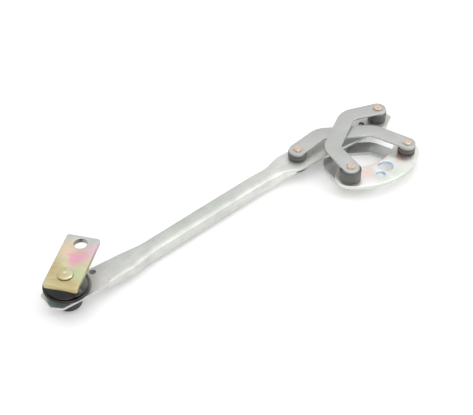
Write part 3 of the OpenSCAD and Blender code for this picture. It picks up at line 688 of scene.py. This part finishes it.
def rod_pressing():
    """Grid of sections along the rod, set across from its near edge. Each corner of a section is a
    quarter circle C + r ((1 - sin a) back + (1 - cos a) ahead). The whole is held within the CAD rod's
    box."""
    tail_end = rod_end()[1]
    between = np.arange(ROD_STEP - HEAD_TIP, tail_end - 0.9 * ROD_STEP, ROD_STEP)
    s = np.concatenate([TIP_STATIONS - HEAD_TIP, between, tail_end - TIP_STATIONS[::-1]])
    near, far = rod_edges(s)
    width = np.linalg.norm(far - near, axis=1)
    across = (far - near) / width[:, None]
    corner, radius = rod_section(s, width, tail_end)
    back = np.array([[1, 0], [0, -1], [-1, 0], [0, 1], [1, 0], [0, -1], [-1, 0], [0, 1]], float)
    ahead = np.roll(-back, -1, 0)
    a = np.linspace(0, np.pi / 2, CORNER_STEPS + 1)[None, :, None]
    sway = (1 - np.sin(a)) * back[:, None] + (1 - np.cos(a)) * ahead[:, None]
    loop = corner.transpose(2, 0, 1)[:, :, None] + radius.T[:, :, None, None] * sway[None]
    loop = loop.reshape(len(s), -1, 2)
    plane = near[:, None] + across[:, None] * loop[:, :, :1]
    points = np.concatenate([plane + STUD, loop[:, :, 1:] + DECK], 2)
    points = np.clip(points, low("drive_rod"), high("drive_rod"))
    rows, columns = points.shape[:2]
    faces = grid_faces(rows, columns)[:, ::-1]
    tips = [list(range(columns)), list(range(rows * columns - 1, (rows - 1) * columns - 1, -1))]
    return points.reshape(-1, 3), faces, tips


def pierce_rod(piece, holes):
    """Cuts round holes through the rod's sheet: one mesh of upright tubes, two rings and two lids each, is
    taken away from it."""
    n = HOLE_AROUND
    tall = np.repeat([[DECK - 2 * SHEET], [DECK + SHEET]], n, 0)
    points, faces, lids = [], [], []
    for number, (at, r) in enumerate(holes):
        first = 2 * n * number
        ring = arc(at, r, 0, 360, n)[:-1] + STUD
        points.append(np.concatenate([np.tile(ring, (2, 1)), tall], 1))
        faces.append(grid_faces(2, n) + first)
        lids += [list(range(first + n - 1, first - 1, -1)), list(range(first + n, first + 2 * n))]
    mesh = bpy.data.meshes.new("tubes")
    mesh.from_pydata((np.concatenate(points) * MM).tolist(), [], [*np.concatenate(faces).tolist(), *lids])
    tubes = bpy.data.objects.new("tubes", mesh)
    bpy.context.scene.collection.objects.link(tubes)
    cut = piece.modifiers.new("holes", "BOOLEAN")
    cut.operation, cut.solver, cut.object = "DIFFERENCE", "EXACT", tubes
    done = bpy.data.meshes.new_from_object(piece.evaluated_get(bpy.context.evaluated_depsgraph_get()))
    piece.modifiers.clear()
    piece.data = done
    done.shade_smooth()
    done.set_sharp_from_angle(angle=math.radians(SHARP_ANGLE))
    bpy.data.objects.remove(tubes)


rod = make_piece("rod_pressing", *rod_pressing(), node="drive_rod", body="rod", finish=rod_zinc)
bush_holes = [(at, BUSH_R) for at in ROD_PIVOT.values()]
pierce_rod(rod, [((0, 0), SOCKET_HOLE_R), *bush_holes, *TOOLING_HOLES])


# the links

def link_outline(start, end, arm, middle, bulge):
    """Outline of a bent strip: a path runs from pivot to pivot through two rounded bends, its two edges
    lie half a width to either side, and half circles close the ends."""
    span = np.linalg.norm(end - start)
    side = math.copysign(1, bulge)
    first, second = np.array([arm, bulge]), np.array([arm + middle, bulge])
    turn_first, turn_second = heading(first), heading(np.array([span, 0]) - second)
    trim_first = LINK_BEND_R * math.tan(math.radians(abs(turn_first)) / 2)
    trim_second = LINK_BEND_R * math.tan(math.radians(abs(turn_second)) / 2)
    level, crest = bulge - side * LINK_BEND_R, side * 90
    hub_first, hub_second = (arm + trim_first, level), (second[0] - trim_second, level)
    bend_first = arc(hub_first, LINK_BEND_R, crest + turn_first, crest, BEND_STEPS)
    bend_second = arc(hub_second, LINK_BEND_R, crest, crest + turn_second, BEND_STEPS)
    path = np.concatenate([[[0, 0]], bend_first, bend_second, [[span, 0]]])
    lean = np.radians(np.concatenate([[turn_first], np.linspace(turn_first, 0, BEND_STEPS + 1),
                                      np.linspace(0, turn_second, BEND_STEPS + 1), [turn_second]]))
    left = LINK_W / 2 * np.stack([-np.sin(lean), np.cos(lean)], 1)
    end_round = arc((span, 0), LINK_W / 2, turn_second - 90, turn_second + 90, ROUND_STEPS)[1:-1]
    start_round = arc((0, 0), LINK_W / 2, turn_first + 90, turn_first + 270, ROUND_STEPS)[1:-1]
    outline = np.concatenate([path - left, end_round, (path + left)[::-1], start_round])
    return start + turned(outline, heading(end - start))


for pair, pins in LINK_PINS.items():
    ends = [axis_of(pin) for pin in pins]
    strip = link_outline(*ends, LINK_ARM[pair], LINK_MID[pair], LINK_BULGE[pair])
    for level in LEVELS:
        stamped_piece(f"{level}_link_{pair}_strip", strip, [hole(end, PIN_R) for end in ends], LINK_EDGE_R,
                      node=f"{level}_link_{pair}", body=f"link_{pair}", finish=link_zinc)


# the spindle plate

def plate_outline():
    """Outline of the spindle plate between its two pivots: an arc round each lobe, a wide arc that both
    lobes touch from inside, and a hollow arc that both lobes touch from outside."""
    def touching(r_inner, r_outer):
        """Place at one distance from the inner pivot and at another from the outer one."""
        x = (PLATE_SPAN ** 2 + r_inner ** 2 - r_outer ** 2) / (2 * PLATE_SPAN)
        return np.array([x, math.sqrt(r_inner ** 2 - x ** 2)])

    outer = np.array([PLATE_SPAN, 0.0])
    belly = touching(BELLY_R - LOBE_INNER_R, BELLY_R - LOBE_OUTER_R)
    waist = touching(WAIST_R + LOBE_INNER_R, WAIST_R + LOBE_OUTER_R)
    waist_in, waist_out = heading(waist), heading(waist - outer)
    belly_in, belly_out = heading(-belly), heading(outer - belly)
    arcs = [((0, 0), LOBE_INNER_R, waist_in, belly_in + 360), (belly, BELLY_R, belly_in, belly_out),
            (outer, LOBE_OUTER_R, belly_out, waist_out), (waist, WAIST_R, waist_out - 180, waist_in - 180)]
    return np.concatenate([arc(*bow, LOBE_STEPS)[:-1] for bow in arcs])


def on_plate(points):
    """Points measured along and across the line between the plate's pivots, in the frame."""
    return PLATE_INNER + turned(points, PLATE_LEAN)


plate_rounds = [((0, 0), OPEN_R), ((PLATE_SPAN, 0), BUSH_R), (SPINDLE_AT, SPINDLE_R),
                (LOCATING_AT, LOCATING_R)]
plate_holes = [on_plate(hole(*place)) for place in plate_rounds]
stamped_piece("spindle_plate_stamping", on_plate(plate_outline()), plate_holes, PLATE_EDGE_R,
              node="spindle_plate", body="plate", finish=plate_passivate)


# the crank and its ball joint

def crank_outline():
    """Bar with eased corners from behind the stud to beyond the motor shaft's hole, turned to its pose."""
    back, half = -CRANK_REACH - CRANK_STUD_END, CRANK_W / 2
    corners = [(back, -half), (CRANK_SHAFT_END, -half), (CRANK_SHAFT_END, half), (back, half)]
    return turned(eased_corners(corners, CRANK_CORNER_EASE, CRANK_EASE_STEPS), CRANK_TURN)


def stud_profile():
    """Profile of the stud from the foot of its ball: an arc up to the neck, the shank through the crank,
    the head's side from the crank's face, its top and its dimple from the stud's upper end."""
    foot, top = low("ball_stud")[2], high("ball_stud")[2]
    crank_under, crank_face = low("motor_crank")[2], high("motor_crank")[2]
    ball = arc((0, foot + BALL_R), BALL_R, -90, 90 - math.degrees(math.asin(NECK_R / BALL_R)), BALL_STEPS)
    shank = [(NECK_R, crank_under - NECK_EASE), (SHANK_R, crank_under), (SHANK_R, crank_face)]
    return np.concatenate([ball, shank, steps_from(RIVET_R, crank_face, RIVET_SIDE),
                           steps_from(RIVET_R, top, RIVET_TOP), steps_from(DIMPLE_R, top, RIVET_DIMPLE)])


def boot_profile():
    """Closed profile of the dust boot with eased corners: its foot on the rod, a groove, the bead, the
    dome and the lip at the stud, then back down inside."""
    foot, top, bead_r = low("dust_boot")[2], high("dust_boot")[2], radius_of("dust_boot")
    corners = np.concatenate([
        steps_from(BOOT_FOOT_R, foot, BOOT_FOOT), steps_from(bead_r, foot, BOOT_GROOVE),
        steps_from(bead_r, foot, BOOT_BEAD), steps_from(bead_r, foot, BOOT_DOME),
        steps_from(BOOT_LIP_R, top, BOOT_LIP), steps_from(bead_r, foot, BOOT_INSIDE),
        steps_from(BOOT_FOOT_R - BOOT_WALL, foot, BOOT_SEAT)])
    return eased_corners(corners, BOOT_EASE, BOOT_EASE_STEPS)


def socket_profile():
    """Profile of the ball socket: a foot with a sloped side, a shoulder under the rod, a spigot in the
    rod's hole, all with eased corners, and inside it a cup, an arc of the ball's circle with a
    clearance."""
    foot, side_r, under_rod = low("ball_socket")[2], radius_of("ball_socket"), DECK - SHEET
    slope_top = foot + side_r - SOCKET_FOOT_R
    corners = [(0, foot), (SOCKET_FOOT_R, foot), (side_r, slope_top), (side_r, under_rod),
               (SPIGOT_R, under_rod), (SPIGOT_R, DECK), (CUP_RIM_R, DECK)]
    outside = eased_corners(corners, [0, *[SOCKET_EASE] * (len(corners) - 2), 0])
    cup = arc((0, low("ball_stud")[2] + BALL_R), BALL_R + RUN_CLEAR, CUP_MOUTH, -90, BALL_STEPS)
    return np.concatenate([outside, cup])


crank_holes = [hole((0, 0), SHAFT_HOLE_R), hole(STUD, SHANK_R)]
stamped_piece("crank_bar", crank_outline(), crank_holes, CRANK_EDGE_R, node="motor_crank",
              body="crank", finish=gold_passivate)
turned_piece("ball_stud_rivet", stud_profile(), STUD, False, node="ball_stud", body="crank",
             finish=gold_passivate)
turned_piece("dust_boot_moulding", boot_profile(), STUD, True, node="dust_boot", body="rod",
             finish=boot_rubber)
turned_piece("ball_socket_cup", socket_profile(), STUD, False, node="ball_socket", body="rod",
             finish=socket_plastic)


# pins, bushes, spacers and washers

def riveted_pin(where, body, lobes, depth, dome):
    """Pin with a riveted head at each end: the head's radius swings with the cosine of its lobes, its
    top is domed and carries the punch's dimple. The head's profile is given as radius and depth from
    its end."""
    node = f"pin_{where}"
    foot, top = low(node)[2], high(node)[2]
    rim_r, eased_r, shoulder_r = PIN_HEAD_R, PIN_HEAD_R - RIM_EASE, PIN_HEAD_R - SHOULDER_W
    head = np.array([(PIN_R, PIN_HEAD_H), (eased_r, PIN_HEAD_H), (rim_r, PIN_HEAD_H - RIM_FOOT),
                     (rim_r, RIM_DROP + dome), (eased_r, SHOULDER_DROP + DOME_AT_RIM * dome),
                     (shoulder_r, DOME_AT_SHOULDER * dome), *PUNCH_MARK])
    profile = np.concatenate([(head + (0, foot))[::-1], head * (1, -1) + (0, top)])

    def ripple(angle, z):
        """Share of the radius that is left between the lobes, full on the pin and less on its heads."""
        in_top = smoothstep(z, top - PIN_HEAD_H, top - PIN_HEAD_H + PIN_HEAD_RISE)
        in_foot = 1 - smoothstep(z, foot + PIN_HEAD_H - PIN_HEAD_RISE, foot + PIN_HEAD_H)
        return 1 - depth * np.maximum(in_top, in_foot) * (0.5 + 0.5 * np.cos(lobes * angle))

    turned_piece(f"pin_{where}_rivet", profile, axis_of(node), False, ripple, node=node, body=body,
                 finish=pin_passivate, sharp=PIN_SHARP_ANGLE)


def collared_bush(where, body):
    """Plain bush with a collar at its upper end, its edges eased."""
    node = f"bush_{where}"
    foot, top, collar_r = low(node)[2], high(node)[2], radius_of(node)
    bore_r, collar_under = PIN_R + RUN_CLEAR, top - COLLAR_T
    corners = [(bore_r, foot), (BUSH_R, foot), (BUSH_R, collar_under), (collar_r, collar_under),
               (collar_r, top), (bore_r, top)]
    turned_piece(f"bush_{where}_turning", eased_corners(corners, THIN_EDGE), axis_of(node), True,
                 node=node, body=body, finish=bush_bronze)


for where, (body, *head_shape) in PIN_HEADS.items():
    riveted_pin(where, body, *head_shape)
    for level in LEVELS:
        spacer = f"spacer_{level}_{where}"
        ring_piece(f"{spacer}_moulding", spacer, PIN_R, SPACER_EDGE, body=body, finish=spacer_plastic)
    washer = f"washer_{where}"
    ring_piece(f"{washer}_stamping", washer, PIN_R, THIN_EDGE, body=body, finish=washer_steel)
for where, body in BUSH_BODIES.items():
    collared_bush(where, body)


# floor, light and camera; lamps and floor are placed and sized in metres

FLOOR_HALF = 4.0
CLIP_NEAR, CLIP_FAR = 0.01, 20.0


def paper_floor():
    """Wide sheet of pale paper that the drive lies on."""
    half, ground = FLOOR_HALF, cad_box[0].z
    corners = [(-half, -half, ground), (half, -half, ground), (half, half, ground), (-half, half, ground)]
    mesh = bpy.data.meshes.new("floor")
    mesh.from_pydata(corners, [], [(0, 1, 2, 3)])
    floor = bpy.data.objects.new("floor", mesh)
    bpy.context.scene.collection.objects.link(floor)
    paper = Finish("paper", Base_Color=(0.92, 0.92, 0.92, 1), Roughness=0.9, Emission_Color=(1, 1, 1, 1),
                   Emission_Strength=0.18)
    floor.data.materials.append(paper.material)


def aimed(at, aim):
    """Turn of a lamp or a camera that stands at one place and looks at another."""
    return (Vector(aim) - Vector(at)).to_track_quat("-Z", "Y")


def soft_light(name, at, size, power):
    """Square lamp that points at the middle of the drive."""
    lamp = bpy.data.lights.new(name, "AREA")
    lamp.shape, lamp.size, lamp.energy = "SQUARE", size, power
    shown = bpy.data.objects.new(name, lamp)
    shown.location = at
    shown.rotation_euler = aimed(at, CENTRE).to_euler()
    bpy.context.scene.collection.objects.link(shown)


def pale_studio():
    """Even pale light from all round."""
    world = bpy.data.worlds.new("studio")
    world.use_nodes = True
    around = world.node_tree.nodes["Background"].inputs
    around["Color"].default_value = (0.95, 0.95, 0.95, 1)
    around["Strength"].default_value = 0.9
    bpy.context.scene.world = world
    bpy.context.scene.view_settings.view_transform = "Standard"


def photo_camera():
    """Camera at the photo's place and angle, rolled a little, its frame moved by a pixel or two."""
    lens = bpy.data.cameras.new("photo_camera")
    lens.lens, lens.sensor_width, lens.sensor_fit = CAMERA_LENS, CAMERA_FILM_W, "HORIZONTAL"
    lens.shift_y = -CAMERA_RISE / max(IMAGE_SIZE)
    lens.clip_start, lens.clip_end = CLIP_NEAR, CLIP_FAR
    camera = bpy.data.objects.new("photo_camera", lens)
    camera.location = Vector(CAMERA_AT) * MM
    roll = Quaternion((0, 0, 1), math.radians(CAMERA_ROLL))
    camera.rotation_euler = (aimed(CAMERA_AT, CAMERA_AIM) @ roll).to_euler()
    bpy.context.scene.collection.objects.link(camera)
    bpy.context.scene.camera = camera


paper_floor()
soft_light("overhead", at=(0.3, -0.1, 1.5), size=1.6, power=6)
soft_light("front", at=(0.8, -0.92, 0.75), size=0.5, power=2.6)
pale_studio()
photo_camera()
